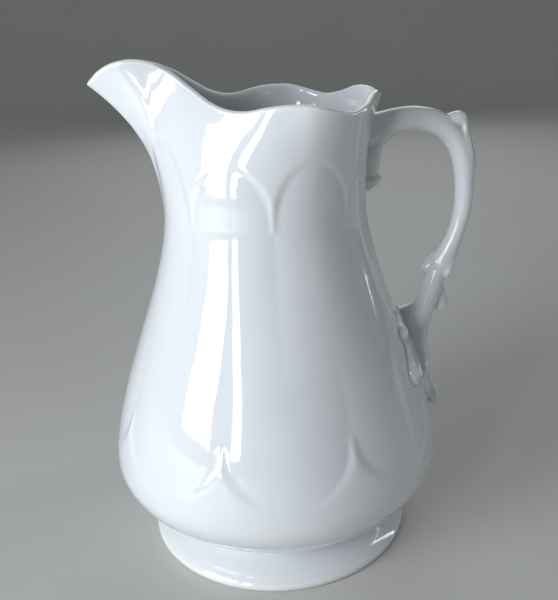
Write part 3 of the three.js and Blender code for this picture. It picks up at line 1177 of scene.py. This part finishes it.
    def held_in_wall(self, points: np.ndarray) -> np.ndarray:
        """Keeps what is laid inside the wall from reaching through it to the jug's inside."""
        angle = np.arctan2(points[:, 1], points[:, 0])
        height = self.form.height_of(angle, points[:, 2])
        deepest = np.hypot(*self.form.surface(angle, height)[:, :2].T) - self.anchor
        reach = np.hypot(points[:, 0], points[:, 1])
        moved = points.copy()
        moved[:, :2] *= (np.maximum(reach, deepest) / np.maximum(reach, 1e-6))[:, None]
        return moved

    def fused(self, bm: bmesh.types.BMesh) -> bmesh.types.BMesh:
        """Joins all that was laid into one skin and softens it, as the melted glaze does.

        Args:
            bm: the overlapping closed shapes. It is freed.

        Returns:
            One closed mesh.
        """
        mesh = bpy.data.meshes.new("laid_clay")
        bm.to_mesh(mesh)
        bm.free()
        clay = bpy.data.objects.new("laid_clay", mesh)
        bpy.context.scene.collection.objects.link(clay)
        remesh = clay.modifiers.new("one_skin", "REMESH")
        remesh.mode = "VOXEL"
        remesh.voxel_size = self.voxel
        skin = bmesh.new()
        skin.from_object(clay, bpy.context.evaluated_depsgraph_get())
        bpy.data.objects.remove(clay)
        bpy.data.meshes.remove(mesh)
        for _ in range(self.softening):
            bmesh.ops.smooth_vert(
                skin, verts=skin.verts[:], factor=0.5, use_axis_x=True, use_axis_y=True, use_axis_z=True
            )
        reshape(skin, self.held_in_wall)
        return skin

    def build(self, glaze: bpy.types.Material) -> bpy.types.Object:
        """Makes the handle."""
        bm = bmesh.new()
        upper = (self.branch, self.thumb_leaf, self.upper_leaf, self.knot, self.twig)
        for part in (*upper, self.fork, self.lower_leaf, self.bud):
            part(bm)
            log.info("%s laid", part.__name__)
        return self.finish(self.fused(bm), [glaze], reach=3, gain=0.0012)


# ---------- The studio ----------


@dataclass
class Studio:
    """The floor, the lights and the camera."""

    axis: Vector
    lens: float = 46.0
    camera_place: tuple[float, float, float] = (-0.0400, -0.4457, 0.3228)
    camera_aim: tuple[float, float, float] = (0.071, 0.932, -0.354)
    camera_roll: float = math.radians(2.57)
    daylight: tuple[float, float, float] = (0.9, 0.955, 1.0)
    floor_radius: float = 2.0
    sweep_radius: float = 1.4
    backdrop_height: float = 2.6

    def camera(self) -> None:
        """Sets the camera a little above the rim, looking down at the jug's left side."""
        data = bpy.data.cameras.new("camera")
        data.lens = self.lens
        data.sensor_width = 36.0
        data.clip_start = 0.01
        camera = bpy.data.objects.new("camera", data)
        bpy.context.scene.collection.objects.link(camera)
        aim = Vector(self.camera_aim).normalized()
        level = aim.cross(Vector((0, 0, 1))).normalized()
        upright = level.cross(aim)
        turn = Matrix.Rotation(self.camera_roll, 3, aim)
        across, up = turn @ level, turn @ upright
        matrix = Matrix((across, up, -aim)).transposed().to_4x4()
        matrix.translation = Vector(self.camera_place)
        camera.matrix_world = matrix
        bpy.context.scene.camera = camera

    def floor(self) -> None:
        """Lays the plain pale floor, whose far edge sweeps up all round into a backdrop."""
        bm = bmesh.new()
        bmesh.ops.create_circle(bm, cap_ends=True, segments=128, radius=self.floor_radius)
        for reach, rise in self.sweep():
            rim = [edge for edge in bm.edges if edge.is_boundary]
            out = bmesh.ops.extrude_edge_only(bm, edges=rim)["geom"]
            ring = [item for item in out if isinstance(item, bmesh.types.BMVert)]
            for vertex in ring:
                flat = vertex.co.xy.normalized() * reach
                vertex.co = (flat.x, flat.y, rise)
        bmesh.ops.recalc_face_normals(bm, faces=bm.faces[:])
        for face in bm.faces:
            face.smooth = len(face.verts) == 4
        mesh = bpy.data.meshes.new("floor")
        bm.to_mesh(mesh)
        bm.free()
        material, tree, shader, position = new_material("pale_floor")
        mottle = mixed(tree, noise(tree, position, 5.0, 3.0), (0.6, 0.585, 0.55), (0.64, 0.625, 0.595))
        set_inputs(shader, Base_Color=mottle, Roughness=0.5, IOR=1.4)
        mesh.materials.append(material)
        floor = bpy.data.objects.new("floor", mesh)
        bpy.context.scene.collection.objects.link(floor)

    def sweep(self) -> list[tuple[float, float]]:
        """The rings of the floor's swept edge, from the flat to its upright top."""
        turns = np.linspace(0.0, math.pi / 2, 17)[1:]
        bend = [
            (self.floor_radius + self.sweep_radius * math.sin(t), self.sweep_radius * (1 - math.cos(t)))
            for t in turns
        ]
        return [*bend, (self.floor_radius + self.sweep_radius, self.backdrop_height)]

    def softbox(self, name: str, bearing: float, place: tuple, size: tuple, power: float) -> None:
        """Hangs a soft light that faces the jug.

        Args:
            name: its name.
            bearing: degrees from the front (-Y) round towards the handle.
            place: metres from the jug's axis, and metres above the floor to its middle.
            size: its width and height in metres.
            power: watts.
        """
        data = bpy.data.lights.new(name, "AREA")
        data.shape = "RECTANGLE"
        data.size, data.size_y = size
        data.energy = power
        data.color = self.daylight
        light = bpy.data.objects.new(name, data)
        bpy.context.scene.collection.objects.link(light)
        turn = math.radians(bearing)
        away = Vector((math.sin(turn), -math.cos(turn), 0.0)) * place[0]
        light.location = self.axis + away + Vector((0, 0, place[1]))
        aim = self.axis + Vector((0, 0, 0.15)) - light.location
        light.rotation_euler = aim.to_track_quat("-Z", "Y").to_euler()

    def light(self) -> None:
        """Lights the jug from a low window of two panes on its left, with weak light from elsewhere."""
        self.softbox("window_wide", -58.0, (1.3, 0.47), (0.6, 0.74), 13.4)
        self.softbox("window_narrow", -34.0, (1.3, 0.47), (0.15, 0.74), 4.2)
        self.softbox("far_window", 104.0, (1.6, 0.8), (0.14, 1.4), 4.0)
        self.softbox("back_fill", 172.0, (1.5, 1.0), (1.2, 1.2), 5.0)
        world = bpy.data.worlds.new("room")
        world.use_nodes = True
        sky = world.node_tree.nodes["Background"]
        set_inputs(sky, Color=(0.62, 0.66, 0.72, 1.0), Strength=0.24)
        bpy.context.scene.world = world
        bpy.context.scene.view_settings.view_transform = "Standard"


def main() -> None:
    """Builds the jug's pieces around the frame, dresses them and sets the studio."""
    logging.basicConfig(level=logging.INFO, format="%(name)s: %(message)s", force=True)
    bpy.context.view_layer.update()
    low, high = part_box("foot_ring")
    axis = Vector(((low.x + high.x) / 2, (low.y + high.y) / 2, 0.0))
    log.info("the jug's axis is %.2f mm from the frame's origin", axis.x / MM)

    ripple, specks = glaze_ripple_group(), kiln_specks_group()
    body_glaze = Glaze("body_glaze").build(ripple, specks)
    foot_glaze = Glaze("foot_glaze", speck_share=0.4).build(ripple, specks)
    handle_glaze = Glaze("handle_glaze", swell_height=0.00012).build(ripple, specks)
    bare_clay = BareClay("bare_clay").build(specks)

    form = JugForm(axis)
    wall_nodes = ("wall_left_half", "wall_right_half", "base_disc")
    PressedWall(form, "pressed_wall", Slot.BODY, wall_nodes).build(body_glaze)
    FootRing(form, "spreading_foot", Slot.FOOT, ("foot_ring",)).build(foot_glaze, bare_clay)
    handle_nodes = tuple(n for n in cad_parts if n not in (*wall_nodes, "foot_ring"))
    BranchHandle(form, "branch_handle", Slot.HANDLE, handle_nodes).build(handle_glaze)

    studio = Studio(axis)
    studio.camera()
    studio.floor()
    studio.light()


if __name__ == "__main__":
    main()
